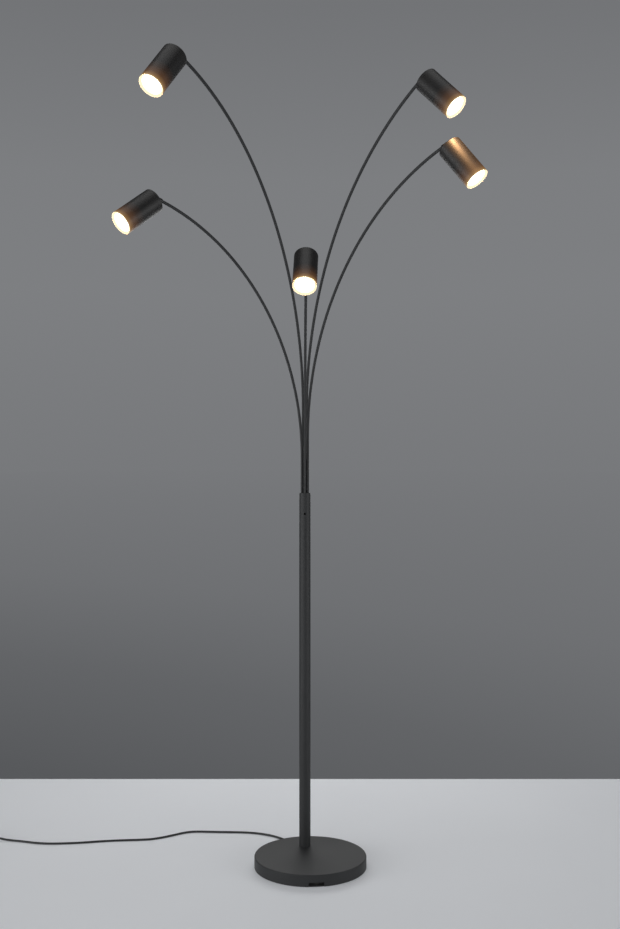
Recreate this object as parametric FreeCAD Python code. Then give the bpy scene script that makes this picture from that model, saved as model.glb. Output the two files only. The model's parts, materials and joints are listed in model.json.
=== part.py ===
"""Tree floor lamp with five spot heads, in millimetres, +Z up.

The origin is the centre of the base's underside, on the floor. The front is -Y.
A bearing is an angle seen from above, measured from the front and positive towards +X,
unless a line says otherwise.
"""
import FreeCAD
import Part
import math
import os

V = FreeCAD.Vector
UP = V(0, 0, 1)
os.makedirs("parts", exist_ok=True)

# ---- fits -------------------------------------------------------------------------------
running_fit = 0.05          # radial clearance of a pin or spigot that turns in its hole
plug_fit = 0.1              # radial clearance of a piece that slides into a tube
swivel_gap = 0.2            # end gap between an arm's end face and the knuckle's collar
past = 1.0                  # how far a cutter runs past a face, and a fused piece into the next
small_edge = 0.5            # chamfer that breaks a sharp edge

# ---- base -------------------------------------------------------------------------------
base_diameter = 300.0
base_height = 31.0          # floor to the cover's top face
cover_wall = 1.5
cover_edge_radius = 3.0     # rounded edge between top and side
rim_gap = 1.0               # floor to the lower edge of the cover
pad_thickness = 3.0
pad_inset = 2.0             # pad and weight stay this far inside the cover's wall
weight_web = 16.0           # thickness of the iron casting between its ribs
weight_rib = 9.0            # width of its outer rib
weight_chamfer = 2.5
stud_boss_diameter = 50.0
notch_width = 40.0          # cut-outs in the cover's rim
notch_top = 12.0            # floor to the top of a cut-out
front_notch_bearing = 6.0
front_notch_depth = 12.0    # recess in the weight behind the front cut-out
pocket_diameter = 68.0      # service pocket under the weight
pocket_offset = 22.0        # from the stud towards the cord outlet
pocket_top = 16.0           # floor to the pocket's ceiling

# ---- pole and its fixing ----------------------------------------------------------------
pole_offset = 70.7          # base centre to pole axis
pole_bearing = -12.4        # measured from the back (+Y), negative towards -X
pole_diameter = 31.0
pole_wall = 1.5
pole_length = 967.0
foot_insert_length = 22.0
stud_diameter = 10.0
stud_bore = 7.0
stud_reach = 18.0           # length of stud inside the foot insert
stud_tail = 0.6             # length of stud below its nut
nut_across_flats = 17.0
nut_height = 6.0
nut_recess_diameter = 25.0

# ---- arms -------------------------------------------------------------------------------
socket_length = 80.0        # plug with five bores in the pole's top
socket_drop = 1.0           # pole's rim to the socket's top face
rod_diameter = 7.5
rod_wall = 1.0
rod_ring_radius = 8.2       # pole axis to each rod's axis
grub_screw_drop = 56.5      # pole's rim to the grub screw
grub_screw_diameter = 6.0
grub_screw_length = 2.0
grub_screw_sink = 0.9       # the screw's face below the pole's surface
grub_key = 3.0              # hexagon key, across flats
junction_diameter = 22.0
junction_length = 34.0
junction_gap = 0.3          # junction block to the leads' and the socket's lower end
lead_diameter = 3.2
lead_tail = 24.0            # leads run this far below the socket, to the junction block

# ---- knuckle between arm and head -------------------------------------------------------
tip_reach = 16.0            # arm's end face to the tilt axis
tip_collar_diameter = 11.0
tip_collar_top = 7.0        # collar's face to the tilt axis
tip_spigot_length = 8.0
tip_bore = 3.4
tip_side_bore = 2.8         # the lead leaves the tip through it
tip_bore_end = 1.5          # metal left between the bore and the collar's face
tongue_thickness = 4.0
tongue_gap = 0.2            # tongue to each ear of the fork
ear_thickness = 2.2
eye_diameter = 10.0         # round end of the tongue and of the ears
tilt_height = 9.0           # head's closed face to the tilt axis
fork_disc_diameter = 18.0
fork_disc_thickness = 2.5
stem_diameter = 8.0
stem_bore = 3.6
tilt_screw_diameter = 4.0
screw_head_diameter = 7.0
screw_head_height = 2.5
screw_key = 2.5
screw_key_depth = 1.5
tilt_nut_flats = 7.0
tilt_nut_height = 2.8
stem_nut_flats = 13.0
stem_nut_height = 5.0

# ---- head -------------------------------------------------------------------------------
head_diameter = 60.0
head_length = 111.0
head_wall = 1.2
head_cap = 1.5
head_edge_radius = 2.0
lamp_recess = 3.0           # opening to the lamp's front
lamp_diameter = 50.0
lamp_rim = 7.0              # straight part behind the lamp's front
lamp_cone_length = 25.0
lamp_neck_diameter = 28.0
lamp_length = 46.0
lamp_lens_diameter = 43.0
lamp_lens_sink = 1.0
pin_spacing = 10.0
pin_neck_diameter = 3.2
pin_neck_length = 4.0
pin_head_diameter = 4.9
pin_head_length = 3.0
holder_diameter = 27.0
holder_height = 16.0
holder_neck_diameter = 14.0
holder_neck_height = 9.0
holder_thread_depth = 12.0
pin_hole_clearance = 0.4

# ---- cord -------------------------------------------------------------------------------
cord_diameter = 6.0
outlet_heading = 22.0       # from +Y towards -X; the cord's line passes under the stud
outlet_height = 7.3         # floor to the cord's centre where it leaves the base
outlet_bend = 8.0           # radius under the stud
sleeve_reach = 24.0         # tapered sleeve outside the rim
sleeve_root_diameter = 8.4
sleeve_tip_diameter = 7.2
sleeve_block = 8.0          # length and
sleeve_block_width = 12.0   # width of the block that holds it in the weight's channel
sleeve_block_inset = 8.0    # rim to the block
clamp_distance = 30.0       # stud to the cord clamp
clamp_length = 8.0
clamp_width = 20.0
clamp_floor_gap = 0.2       # clamp above the pad

switch_length = 80.0
switch_width = 34.0
switch_height = 20.0
switch_split = 10.0         # floor to the joint between tray and cover
switch_wall = 2.0
switch_corner = 9.0
switch_x = -965.0
switch_y = 200.0
switch_nub = 20.0           # tapered cord relief on each end
switch_nub_root = 12.0
switch_nub_tip = 7.6
switch_cord_height = 8.0
button_diameter = 24.0
button_proud = 4.0
button_travel = 3.0
button_flange = 1.5
button_flange_width = 1.5
button_gap = 0.4            # around the button, and under it at the end of its travel
pedestal_diameter = 16.0    # switch element under the button
switch_top_radius = 2.5
button_top_radius = 1.2

coil_radius_outer = 40.0    # where the cord starts its inward spiral
coil_x = -1046.0
coil_y = 262.0
tie_thickness = 1.0
tie_width = 10.0

plug_length = 36.0
plug_width = 35.3
plug_height = 13.7
plug_shoulder = 15.0        # length at full width
plug_tail_width = 12.0
plug_corner_radius = 2.5    # upright corners
plug_edge_radius = 2.0
plug_pin_diameter = 4.0
plug_pin_length = 19.0
plug_pin_spacing = 18.6


class Arm:
    """One arm: its bore in the socket, its bend, and where its head's light points."""

    def __init__(self, name, slot, bearing, straight, radius, angle, aim, dip):
        self.name = name
        self.slot = slot            # bearing of its bore in the socket
        self.bearing = bearing      # bearing of the plane it is bent in
        self.straight = straight    # straight length above the pole's rim
        self.radius = radius        # bend radius of its centre line
        self.angle = angle          # turn from vertical, to the tilt axis
        self.aim = aim              # bearing of the light
        self.dip = dip              # angle of the light below level


straight_upper_left = 225.0
straight_lower_left = 96.0
straight_centre = 38.0
straight_lower_right = 150.0
straight_upper_right = 225.0
bend_upper_left = 777.0
bend_lower_left = 639.0
bend_centre = 700.0
bend_lower_right = 720.0
bend_upper_right = 834.0

arms = [
    Arm("upper_left", -144.0, -25.2, straight_upper_left, bend_upper_left, 80.5, -41.0, 51.0),
    Arm("lower_left", -72.0, -44.0, straight_lower_left, bend_lower_left, 77.6, -53.0, 37.0),
    Arm("centre", 0.0, 1.0, straight_centre, bend_centre, 53.4, -3.0, 50.0),
    Arm("lower_right", 72.0, 40.0, straight_lower_right, bend_lower_right, 73.7, 61.0, 51.0),
    Arm("upper_right", 144.0, 33.0, straight_upper_right, bend_upper_right, 67.0, 58.0, 45.0),
]

# ---- places worked out from the values above --------------------------------------------
base_radius = base_diameter / 2
inner_radius = base_radius - cover_wall - pad_inset
cover_underside = base_height - cover_wall
notch_sag = base_radius - math.sqrt(base_radius ** 2 - notch_width ** 2 / 4)
cover_notch_reach = notch_sag + cover_wall + past     # a cutter's depth through the cover only
pole_axis = V(
    pole_offset * math.sin(math.radians(pole_bearing)),
    pole_offset * math.cos(math.radians(pole_bearing)),
    0,
)
pole_top = base_height + pole_length
pole_bore_radius = pole_diameter / 2 - pole_wall
socket_radius = pole_bore_radius - plug_fit
socket_top = pole_top - socket_drop
socket_bottom = socket_top - socket_length
junction_top = socket_bottom - lead_tail + junction_length / 2
junction_cord_stop = junction_top - junction_length * 3 / 4     # the cord's hole ends here
outlet_way = V(-math.sin(math.radians(outlet_heading)), math.cos(math.radians(outlet_heading)), 0)
outlet_side = V(outlet_way.y, -outlet_way.x, 0)


def rim_distance(radius):
    """Distance from the pole's axis to a circle about the base's centre, along the outlet."""
    along = pole_axis.dot(outlet_way)
    return -along + math.sqrt(along * along + radius * radius - pole_offset * pole_offset)


rim_from_stud = rim_distance(base_radius)
cord_exit = pole_axis + outlet_way * (rim_from_stud + sleeve_reach) + UP * outlet_height


# ---- helpers ----------------------------------------------------------------------------
def bearing_way(degrees):
    """Level unit vector at a bearing."""
    return V(math.sin(math.radians(degrees)), -math.cos(math.radians(degrees)), 0)


def cylinder(radius, low, high, centre=V(0, 0, 0)):
    """Upright cylinder between two heights."""
    return Part.makeCylinder(radius, high - low, V(centre.x, centre.y, low))


def rod_between(start, end, radius):
    """Cylinder from one point to another."""
    return Part.makeCylinder(radius, (end - start).Length, start, end - start)


def box(x, y, z):
    """Box from pairs of limits."""
    size = [limits[1] - limits[0] for limits in (x, y, z)]
    return Part.makeBox(*size, V(x[0], y[0], z[0]))


def turned(outline):
    """Solid of revolution about Z, from (radius, height) points."""
    points = [V(radius, 0, height) for radius, height in outline]
    face = Part.Face(Part.makePolygon(points + points[:1]))
    return face.revolve(V(0, 0, 0), UP, 360)


def hexagon(across_flats, low, high, centre=V(0, 0, 0)):
    """Upright hexagonal bar."""
    reach = across_flats / 2 / math.cos(math.pi / 6)
    points = [
        V(centre.x + reach * math.cos(k * math.pi / 3), centre.y + reach * math.sin(k * math.pi / 3), low)
        for k in range(7)
    ]
    return Part.Face(Part.makePolygon(points)).extrude(UP * (high - low))


def on_x(shape):
    """Turns a shape made about Z so that it lies about X."""
    shape = shape.copy()
    shape.rotate(V(0, 0, 0), V(0, 1, 0), 90)
    return shape


def placed(shape, origin, across, along):
    """Moves a shape from its own frame, where X is across and Z is along."""
    side = along.cross(across)
    shape = shape.copy()
    shape.Placement = FreeCAD.Placement(FreeCAD.Matrix(
        across.x, side.x, along.x, origin.x,
        across.y, side.y, along.y, origin.y,
        across.z, side.z, along.z, origin.z,
        0, 0, 0, 1,
    )).multiply(shape.Placement)
    return shape


def cut(shape, *tools):
    """The shape without each tool."""
    for tool in tools:
        shape = shape.cut(tool)
    return shape


def joined(shape, *others):
    """One solid of several that touch."""
    return shape.fuse(list(others)).removeSplitter()


def edges_at(shape, height):
    """Edges that lie level at a height."""
    level = [e for e in shape.Edges if e.BoundBox.ZLength < 0.01]
    return [e for e in level if abs(e.BoundBox.ZMin - height) < 0.01]


def save(name, shape):
    """Writes one piece and prints its size."""
    solids = len(shape.Solids)
    print(f"{name}: {solids} solid(s), {shape.Volume / 1000:.2f} cm3, valid {shape.isValid()}")
    shape.exportStep(f"parts/{name}.step")


# ---- base -------------------------------------------------------------------------------
def rim_cutter(way, depth):
    """Block that cuts a notch of the common size into the rim, to a depth, along a level way."""
    block = box((-notch_width / 2, notch_width / 2), (-depth, past), (0, notch_top))
    side = V(way.y, -way.x, 0)
    matrix = FreeCAD.Matrix(
        side.x, way.x, 0, way.x * base_radius,
        side.y, way.y, 0, way.y * base_radius,
        0, 0, 1, 0,
        0, 0, 0, 1,
    )
    block.Placement = FreeCAD.Placement(matrix)
    return block


def outlet_rim_way():
    """Level unit vector from the base's centre to where the cord crosses the rim."""
    point = pole_axis + outlet_way * rim_from_stud
    return V(point.x, point.y, 0).normalize()


def base_cover():
    shell = cylinder(base_radius, rim_gap, base_height)
    shell = shell.makeFillet(cover_edge_radius, edges_at(shell, base_height))
    hollow = cylinder(base_radius - cover_wall, rim_gap - past, cover_underside)
    hollow = hollow.makeFillet(cover_edge_radius - cover_wall, edges_at(hollow, cover_underside))
    stud_hole = cylinder(stud_diameter / 2 + plug_fit, 0, base_height + past, pole_axis)
    return cut(
        shell,
        hollow,
        stud_hole,
        rim_cutter(bearing_way(front_notch_bearing), cover_notch_reach),
        rim_cutter(outlet_rim_way(), cover_notch_reach),
    )


def base_weight():
    inner_rib = inner_radius - weight_rib
    plate_top = pad_thickness + weight_web
    casting = turned([
        (0, pad_thickness),
        (inner_radius, pad_thickness),
        (inner_radius, cover_underside - weight_chamfer),
        (inner_radius - weight_chamfer, cover_underside),
        (inner_rib, cover_underside),
        (inner_rib - weight_chamfer, plate_top),
        (0, plate_top),
    ])
    boss = cylinder(stud_boss_diameter / 2, pad_thickness, cover_underside, pole_axis)
    pocket_centre = pole_axis + outlet_way * pocket_offset
    pocket = cylinder(pocket_diameter / 2, 0, pocket_top, pocket_centre)
    nut_recess = cylinder(nut_recess_diameter / 2, 0, pocket_top + nut_height, pole_axis)
    stud_hole = cylinder(stud_diameter / 2 + plug_fit, 0, base_height, pole_axis)
    half = sleeve_block_width / 2 + running_fit
    channel = box((-half, half), (pocket_offset, rim_from_stud + notch_width), (0, notch_top + running_fit))
    channel = placed(channel, V(pole_axis.x, pole_axis.y, 0), outlet_side, UP)
    notch_recess = rim_cutter(bearing_way(front_notch_bearing), front_notch_depth)
    return cut(joined(casting, boss), pocket, nut_recess, stud_hole, channel, notch_recess)


def base_pad():
    pad = cylinder(inner_radius, 0, pad_thickness)
    return pad.makeChamfer(small_edge, edges_at(pad, 0))


# ---- pole -------------------------------------------------------------------------------
def pole_tube():
    tube = cylinder(pole_diameter / 2, base_height, pole_top, pole_axis)
    bore = cylinder(pole_bore_radius, base_height - past, pole_top + past, pole_axis)
    screw_z = pole_top - grub_screw_drop
    screw_hole = Part.makeCylinder(
        grub_screw_diameter / 2 + running_fit, pole_diameter, V(pole_axis.x, pole_axis.y, screw_z), V(0, -1, 0)
    )
    return cut(tube, bore, screw_hole)


def pole_foot_insert():
    insert = cylinder(pole_bore_radius - plug_fit / 2, base_height, base_height + foot_insert_length, pole_axis)
    thread = cylinder(stud_diameter / 2 + running_fit, 0, pole_top, pole_axis)
    return cut(insert, thread)


def pole_stud():
    low = pocket_top - stud_tail
    stud = cylinder(stud_diameter / 2, low, base_height + stud_reach, pole_axis)
    return cut(stud, cylinder(stud_bore / 2, 0, pole_top, pole_axis))


def stud_nut():
    nut = hexagon(nut_across_flats, pocket_top, pocket_top + nut_height, pole_axis)
    return cut(nut, cylinder(stud_diameter / 2 + running_fit, 0, base_height, pole_axis))


# ---- arms -------------------------------------------------------------------------------
class ArmFrame:
    """Where one arm runs: its foot, its bend, its end, the tilt axis and its head's axis."""

    def __init__(self, arm):
        self.foot = pole_axis + bearing_way(arm.slot) * rod_ring_radius
        self.level = bearing_way(arm.bearing)
        self.bend_start = pole_top + arm.straight
        self.radius = arm.radius
        self.turn = math.radians(arm.angle) - tip_reach / arm.radius
        self.tangent = self.level * math.sin(self.turn) + UP * math.cos(self.turn)
        self.end = self.point(self.turn)
        self.pivot = self.end + self.tangent * tip_reach
        light = bearing_way(arm.aim) * math.cos(math.radians(arm.dip)) - UP * math.sin(math.radians(arm.dip))
        self.head_axis = light * -1.0
        self.tilt_axis = self.tangent.cross(self.head_axis).normalize()

    def point(self, turn):
        rise = self.bend_start + self.radius * math.sin(turn)
        return self.foot + self.level * (self.radius * (1 - math.cos(turn))) + UP * rise


def bent(frame, radius, low, turn):
    """Round bar along an arm: straight from a height, then round its bend."""
    straight = cylinder(radius, low, frame.bend_start, frame.foot)
    start = frame.point(0)
    disc = Part.Face(Part.Wire(Part.makeCircle(radius, start, UP)))
    centre = start + frame.level * frame.radius
    bend = disc.revolve(centre, UP.cross(frame.level), math.degrees(turn))
    return straight.fuse(bend)


def arm_rod(frame):
    outside = bent(frame, rod_diameter / 2, socket_bottom, frame.turn)
    past_turn = past / frame.radius
    inside = bent(frame, rod_diameter / 2 - rod_wall, socket_bottom - past, frame.turn + past_turn)
    return outside.cut(inside)


def arm_lead(frame):
    spigot_turn = (tip_spigot_length + running_fit) / frame.radius
    return bent(frame, lead_diameter / 2, socket_bottom - lead_tail, frame.turn - spigot_turn)


def arm_socket(frames):
    plug = cylinder(socket_radius, socket_bottom, socket_top, pole_axis)
    plug = plug.makeChamfer(small_edge, edges_at(plug, socket_bottom) + edges_at(plug, socket_top))
    bores = [
        cylinder(rod_diameter / 2 + running_fit, socket_bottom - past, pole_top, frame.foot)
        for frame in frames
    ]
    return cut(plug, *bores, grub_cylinder(running_fit))


def grub_cylinder(extra):
    """The space of the grub screw, grown by a clearance."""
    outer = pole_diameter / 2 - grub_screw_sink
    inner = outer - grub_screw_length
    middle = V(pole_axis.x, pole_axis.y, pole_top - grub_screw_drop)
    return Part.makeCylinder(grub_screw_diameter / 2 + extra, grub_screw_length + extra,
                             middle - V(0, inner - extra, 0), V(0, -1, 0))


def grub_screw():
    key = hexagon(grub_key, -grub_screw_length / 2, grub_screw_length / 2)
    key.rotate(V(0, 0, 0), V(1, 0, 0), 90)
    key.translate(V(pole_axis.x, pole_axis.y - pole_diameter / 2, pole_top - grub_screw_drop))
    return grub_cylinder(0).cut(key)


def lead_junction(frames):
    block = cylinder(junction_diameter / 2, junction_top - junction_length, junction_top, pole_axis)
    holes = [
        cylinder(lead_diameter / 2 + running_fit, socket_bottom - lead_tail - junction_gap,
                 pole_top, frame.foot)
        for frame in frames
    ]
    cord_hole = cylinder(cord_diameter / 2 + running_fit, 0, junction_cord_stop, pole_axis)
    return cut(block, *holes, cord_hole)


# ---- knuckle, made about the tilt axis: X is that axis, Z runs out of the arm -------------
def arm_tip():
    seat = -tip_reach
    collar = turned([
        (0, seat - tip_spigot_length),
        (rod_diameter / 2 - rod_wall - running_fit, seat - tip_spigot_length),
        (rod_diameter / 2 - rod_wall - running_fit, seat + swivel_gap),
        (tip_collar_diameter / 2 - small_edge, seat + swivel_gap),
        (tip_collar_diameter / 2, seat + swivel_gap + small_edge),
        (tip_collar_diameter / 2, -tip_collar_top - small_edge),
        (tip_collar_diameter / 2 - small_edge, -tip_collar_top),
        (0, -tip_collar_top),
    ])
    half = tongue_thickness / 2
    tongue = box((-half, half), (-eye_diameter / 2, eye_diameter / 2), (-tip_collar_top - past, 0))
    tongue = tongue.common(cylinder(tip_collar_diameter / 2, -tip_reach, past))
    eye = on_x(cylinder(eye_diameter / 2, -half, half))
    hole = on_x(cylinder(tilt_screw_diameter / 2 + running_fit, -eye_diameter, eye_diameter))
    bore_end = -tip_collar_top - tip_bore_end
    bore = cylinder(tip_bore / 2, seat - tip_spigot_length - past, bore_end)
    middle = V(0, 0, (seat + bore_end) / 2)
    side_bore = Part.makeCylinder(tip_side_bore / 2, tip_collar_diameter, middle, V(0, 1, 0))
    return cut(joined(collar, tongue, eye), hole, bore, side_bore)


# ---- head, made about the tilt axis: X is that axis, Z runs from the opening to the cap ---
cap_face = -tilt_height
opening = cap_face - head_length
cap_inside = cap_face - head_cap
lamp_front = opening + lamp_recess
holder_low = lamp_front + lamp_length
holder_top = holder_low + holder_height
neck_top = holder_top + holder_neck_height
stem_end = neck_top - holder_thread_depth + past
ear_inner = tongue_thickness / 2 + tongue_gap
ear_outer = ear_inner + ear_thickness


def head_fork():
    disc_top = cap_face + fork_disc_thickness
    disc = cylinder(fork_disc_diameter / 2, cap_face, disc_top)
    disc = disc.makeChamfer(small_edge, edges_at(disc, disc_top))
    pieces = [cylinder(stem_diameter / 2, stem_end, disc_top)]
    for side in (-1, 1):
        limits = sorted((side * ear_inner, side * ear_outer))
        pieces.append(box(limits, (-eye_diameter / 2, eye_diameter / 2), (disc_top - past, 0)))
        pieces.append(on_x(cylinder(eye_diameter / 2, *limits)))
    hole = on_x(cylinder(tilt_screw_diameter / 2 + running_fit, -eye_diameter, eye_diameter))
    bore = cylinder(stem_bore / 2, stem_end - past, 0)
    return cut(joined(disc, *pieces), hole, bore)


def head_fixings():
    """Tilt screw, its nut, and the nut that holds the fork's stem under the cap."""
    screw = cylinder(tilt_screw_diameter / 2, -ear_outer - past, ear_outer + tilt_nut_height + small_edge)
    head_low = -ear_outer - screw_head_height
    head = cylinder(screw_head_diameter / 2, head_low, -ear_outer)
    head = head.makeChamfer(small_edge, edges_at(head, head_low))
    key = hexagon(screw_key, head_low - past, head_low + screw_key_depth)
    screw = on_x(joined(screw, head).cut(key))
    nut = hexagon(tilt_nut_flats, ear_outer, ear_outer + tilt_nut_height)
    nut = on_x(nut.cut(cylinder(tilt_screw_diameter / 2 + running_fit, 0, eye_diameter)))
    stem_nut = hexagon(stem_nut_flats, cap_inside - stem_nut_height, cap_inside)
    stem_nut = stem_nut.cut(cylinder(stem_diameter / 2 + running_fit, stem_end, 0))
    return Part.makeCompound([screw, nut, stem_nut])


def head_shell():
    can = cylinder(head_diameter / 2, opening, cap_face)
    can = can.makeFillet(head_edge_radius, edges_at(can, cap_face))
    hollow = cylinder(head_diameter / 2 - head_wall, opening - past, cap_inside)
    hollow = hollow.makeFillet(head_edge_radius - head_wall, edges_at(hollow, cap_inside))
    stem_hole = cylinder(stem_diameter / 2 + running_fit, cap_inside - past, 0)
    can = cut(can, hollow, stem_hole)
    return can.makeFillet(head_wall / 3, edges_at(can, opening))


def lamp_pins():
    """Two stepped contact pins on the lamp's back."""
    pins = []
    head_low = holder_low + pin_neck_length
    for side in (-1, 1):
        centre = V(side * pin_spacing / 2, 0, 0)
        pins.append(cylinder(pin_neck_diameter / 2, holder_low - past, head_low, centre))
        pins.append(cylinder(pin_head_diameter / 2, head_low, head_low + pin_head_length, centre))
    return pins


def lamp_holder():
    body = cylinder(holder_diameter / 2, holder_low, holder_top)
    body = body.makeChamfer(small_edge, edges_at(body, holder_top))
    neck = cylinder(holder_neck_diameter / 2, holder_top - past, neck_top)
    thread = cylinder(stem_diameter / 2 + running_fit, neck_top - holder_thread_depth, neck_top + past)
    slot_depth = pin_neck_length + pin_head_length + pin_hole_clearance
    radius = pin_head_diameter / 2 + pin_hole_clearance
    holes = [
        cylinder(radius, holder_low - past, holder_low + slot_depth, V(side * pin_spacing / 2, 0, 0))
        for side in (-1, 1)
    ]
    return cut(joined(body, neck), thread, *holes)


def lamp_bulb():
    lens = lamp_lens_diameter / 2
    rim = lamp_diameter / 2
    neck = lamp_neck_diameter / 2
    body = turned([
        (0, lamp_front + lamp_lens_sink),
        (lens, lamp_front + lamp_lens_sink),
        (lens + lamp_lens_sink, lamp_front),
        (rim - small_edge, lamp_front),
        (rim, lamp_front + small_edge),
        (rim, lamp_front + lamp_rim),
        (neck, lamp_front + lamp_rim + lamp_cone_length),
        (neck, holder_low),
        (0, holder_low),
    ])
    return joined(body, *lamp_pins())


# ---- cord -------------------------------------------------------------------------------
def rounded_path(points):
    """Straight runs joined by tangent arcs, each as large as its two runs allow.

    Returns the wire, its length and the radii.
    """
    edges = []
    radii = []
    at = points[0]
    for before, corner, after in zip(points, points[1:], points[2:]):
        back = (before - corner)
        ahead = (after - corner)
        run = min(back.Length, ahead.Length)
        turn = math.pi - back.getAngle(ahead)
        radii.append(0.45 * run / math.tan(turn / 2))
        start = corner + back.normalize() * (0.45 * run)
        end = corner + ahead.normalize() * (0.45 * run)
        inward = (back + ahead).normalize()
        middle = corner + inward * (radii[-1] * (1 / math.cos(turn / 2) - 1))
        edges.append(Part.LineSegment(at, start).toShape())
        edges.append(Part.Arc(start, middle, end).toShape())
        at = end
    edges.append(Part.LineSegment(at, points[-1]).toShape())
    return Part.Wire(edges), sum(edge.Length for edge in edges), radii


def cord_along(path, start, way):
    """Round cord swept along a wire."""
    circle = Part.Wire(Part.makeCircle(cord_diameter / 2, start, way))
    return path.makePipeShell([circle], True, False)


def cord_tube(points):
    """Cord along its route."""
    return cord_along(rounded_path(points)[0], points[0], points[1] - points[0])


def save_cord(name, points):
    """Writes a cord tube; prints its length, radii and volume against section x length."""
    tube = cord_tube(points)
    path, length, radii = rounded_path(points)
    section = math.pi * cord_diameter ** 2 / 4
    print(f"{name}: length {length:.0f}, volume ratio {tube.Volume / (section * length):.4f}, radii",
          [round(radius) for radius in radii])
    save(name, tube)


def cord_inner():
    """From the outlet sleeve's end along the weight's channel and up inside the pole."""
    corner = V(pole_axis.x, pole_axis.y, outlet_height)
    start = corner + outlet_way * outlet_bend
    end = corner + UP * outlet_bend
    middle = corner + (outlet_way + UP) * (outlet_bend * (1 - math.sqrt(0.5)))
    top = V(pole_axis.x, pole_axis.y, junction_cord_stop - junction_gap)
    path = Part.Wire([
        Part.LineSegment(cord_exit, start).toShape(),
        Part.Arc(start, middle, end).toShape(),
        Part.LineSegment(end, top).toShape(),
    ])
    return cord_along(path, cord_exit, outlet_way)


def cord_outlet_sleeve():
    """Tapered relief outside the rim, held by a block in the weight's channel."""
    root = rim_from_stud - sleeve_block_inset
    axis = V(pole_axis.x, pole_axis.y, outlet_height)
    barrel = rod_between(axis + outlet_way * root, axis + outlet_way * rim_from_stud,
                         sleeve_root_diameter / 2)
    taper = Part.makeCone(sleeve_root_diameter / 2, sleeve_tip_diameter / 2, sleeve_reach,
                          axis + outlet_way * rim_from_stud, outlet_way)
    half = sleeve_block_width / 2
    block = box((-half, half), (root - sleeve_block, root), (pad_thickness, notch_top))
    block = placed(block, V(pole_axis.x, pole_axis.y, 0), outlet_side, UP)
    bore = rod_between(axis, axis + outlet_way * base_diameter, cord_diameter / 2 + running_fit)
    return joined(barrel, taper, block).cut(bore)


def cord_clamp():
    half = clamp_width / 2
    block = box((-half, half), (clamp_distance, clamp_distance + clamp_length),
                (pad_thickness + clamp_floor_gap, pocket_top))
    block = placed(block, V(pole_axis.x, pole_axis.y, 0), outlet_side, UP)
    axis = V(pole_axis.x, pole_axis.y, outlet_height)
    return block.cut(rod_between(axis, axis + outlet_way * base_radius, cord_diameter / 2 + running_fit))


floor_z = cord_diameter / 2
coil_z = floor_z + tie_thickness
switch_end = switch_length / 2 + switch_nub
coil_radius_inner = coil_radius_outer - 2 * cord_diameter       # after two turns inwards
coil_radius_end = coil_radius_inner + 1.75 * cord_diameter      # at the end of the upper layer
coil_inside = coil_radius_inner - cord_diameter / 2
coil_outside = coil_radius_outer + cord_diameter / 2
coil_low = coil_z - cord_diameter / 2
coil_high = coil_low + 2 * cord_diameter

# Points of the cord's route, chosen by eye along the floor.
route_to_switch = [
    cord_exit,
    V(-60.5, 178.0, 6.3),
    V(-70.0, 193.0, 4.0),
    V(-85.0, 211.0, floor_z),
    V(-109.0, 233.0, floor_z),
    V(-148.0, 253.5, floor_z),
    V(-192.0, 263.5, floor_z),
    V(-240.0, 265.0, floor_z),
    V(-290.0, 267.5, floor_z),
    V(-338.0, 271.0, floor_z),
    V(-366.0, 262.0, floor_z),
    V(-391.0, 243.0, floor_z),
    V(-424.0, 219.5, floor_z),
    V(-455.0, 203.5, floor_z),
    V(-497.0, 198.0, floor_z),
    V(-540.0, 195.0, floor_z),
    V(-594.0, 187.5, floor_z),
    V(-640.0, 176.5, floor_z),
    V(-690.0, 169.5, floor_z),
    V(-740.0, 166.0, floor_z),
    V(-780.0, 172.5, floor_z),
    V(-820.0, 186.0, floor_z),
    V(-858.0, 195.5, floor_z),
    V(-877.0, 198.8, 4.6),
    V(-892.0, 200.0, switch_cord_height),
    V(switch_x + switch_end, switch_y, switch_cord_height),
]
route_to_coil = [
    V(switch_x - switch_end, switch_y, switch_cord_height),
    V(-1040.0, switch_y, switch_cord_height),
    V(-1057.5, 205.5, 6.2),
    V(-1072.5, 217.5, 4.4),
    V(-1082.5, 238.0, coil_z),
    V(coil_x - coil_radius_outer, coil_y, coil_z),
]
plug_z = plug_height / 2
route_to_plug = [
    V(coil_x - coil_radius_end, coil_y, coil_z + cord_diameter),
    V(-1084.0, 276.0, 9.6),
    V(-1081.5, 291.0, 8.0),
    V(-1078.0, 305.5, plug_z),
    V(-1075.0, 318.0, plug_z),
]


def cord_coil():
    """Outer shape of four turns, two beside and two above each other; the cord's ends run into it."""
    centre = V(coil_x, coil_y, 0)
    ring = cylinder(coil_outside, coil_low, coil_high, centre)
    ring = ring.cut(cylinder(coil_inside, coil_low - past, coil_high + past, centre))
    return ring.makeFillet(cord_diameter / 3, edges_at(ring, coil_low) + edges_at(ring, coil_high))


def cord_tie():
    """Band round the coil's turns, on the side away from the entry."""
    half = tie_width / 2
    outside = box((coil_inside - tie_thickness, coil_outside + tie_thickness), (-half, half),
                  (coil_low - tie_thickness, coil_high + tie_thickness))
    lengthwise = [e for e in outside.Edges if e.BoundBox.YLength > tie_width / 2]
    outside = outside.makeFillet(tie_thickness * 1.5, lengthwise)
    outside.translate(V(coil_x, coil_y, 0))
    return outside.cut(cord_coil())


def rounded_block(length, width, low, high, corner):
    """Upright block with rounded corners, centred on Z."""
    block = box((-length / 2, length / 2), (-width / 2, width / 2), (low, high))
    return block.makeFillet(corner, [e for e in block.Edges if e.BoundBox.ZLength > (high - low) / 2])


def cord_nub(side, low, high):
    """The part of a cord relief nub between two heights, on one end of the switch."""
    start = V(side * (switch_length / 2 - switch_wall), 0, switch_cord_height)
    nub = Part.makeCone(switch_nub_root / 2, switch_nub_tip / 2, switch_nub + switch_wall,
                        start, V(side, 0, 0))
    return nub.common(box((-switch_length, switch_length), (-switch_width, switch_width), (low, high)))


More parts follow.
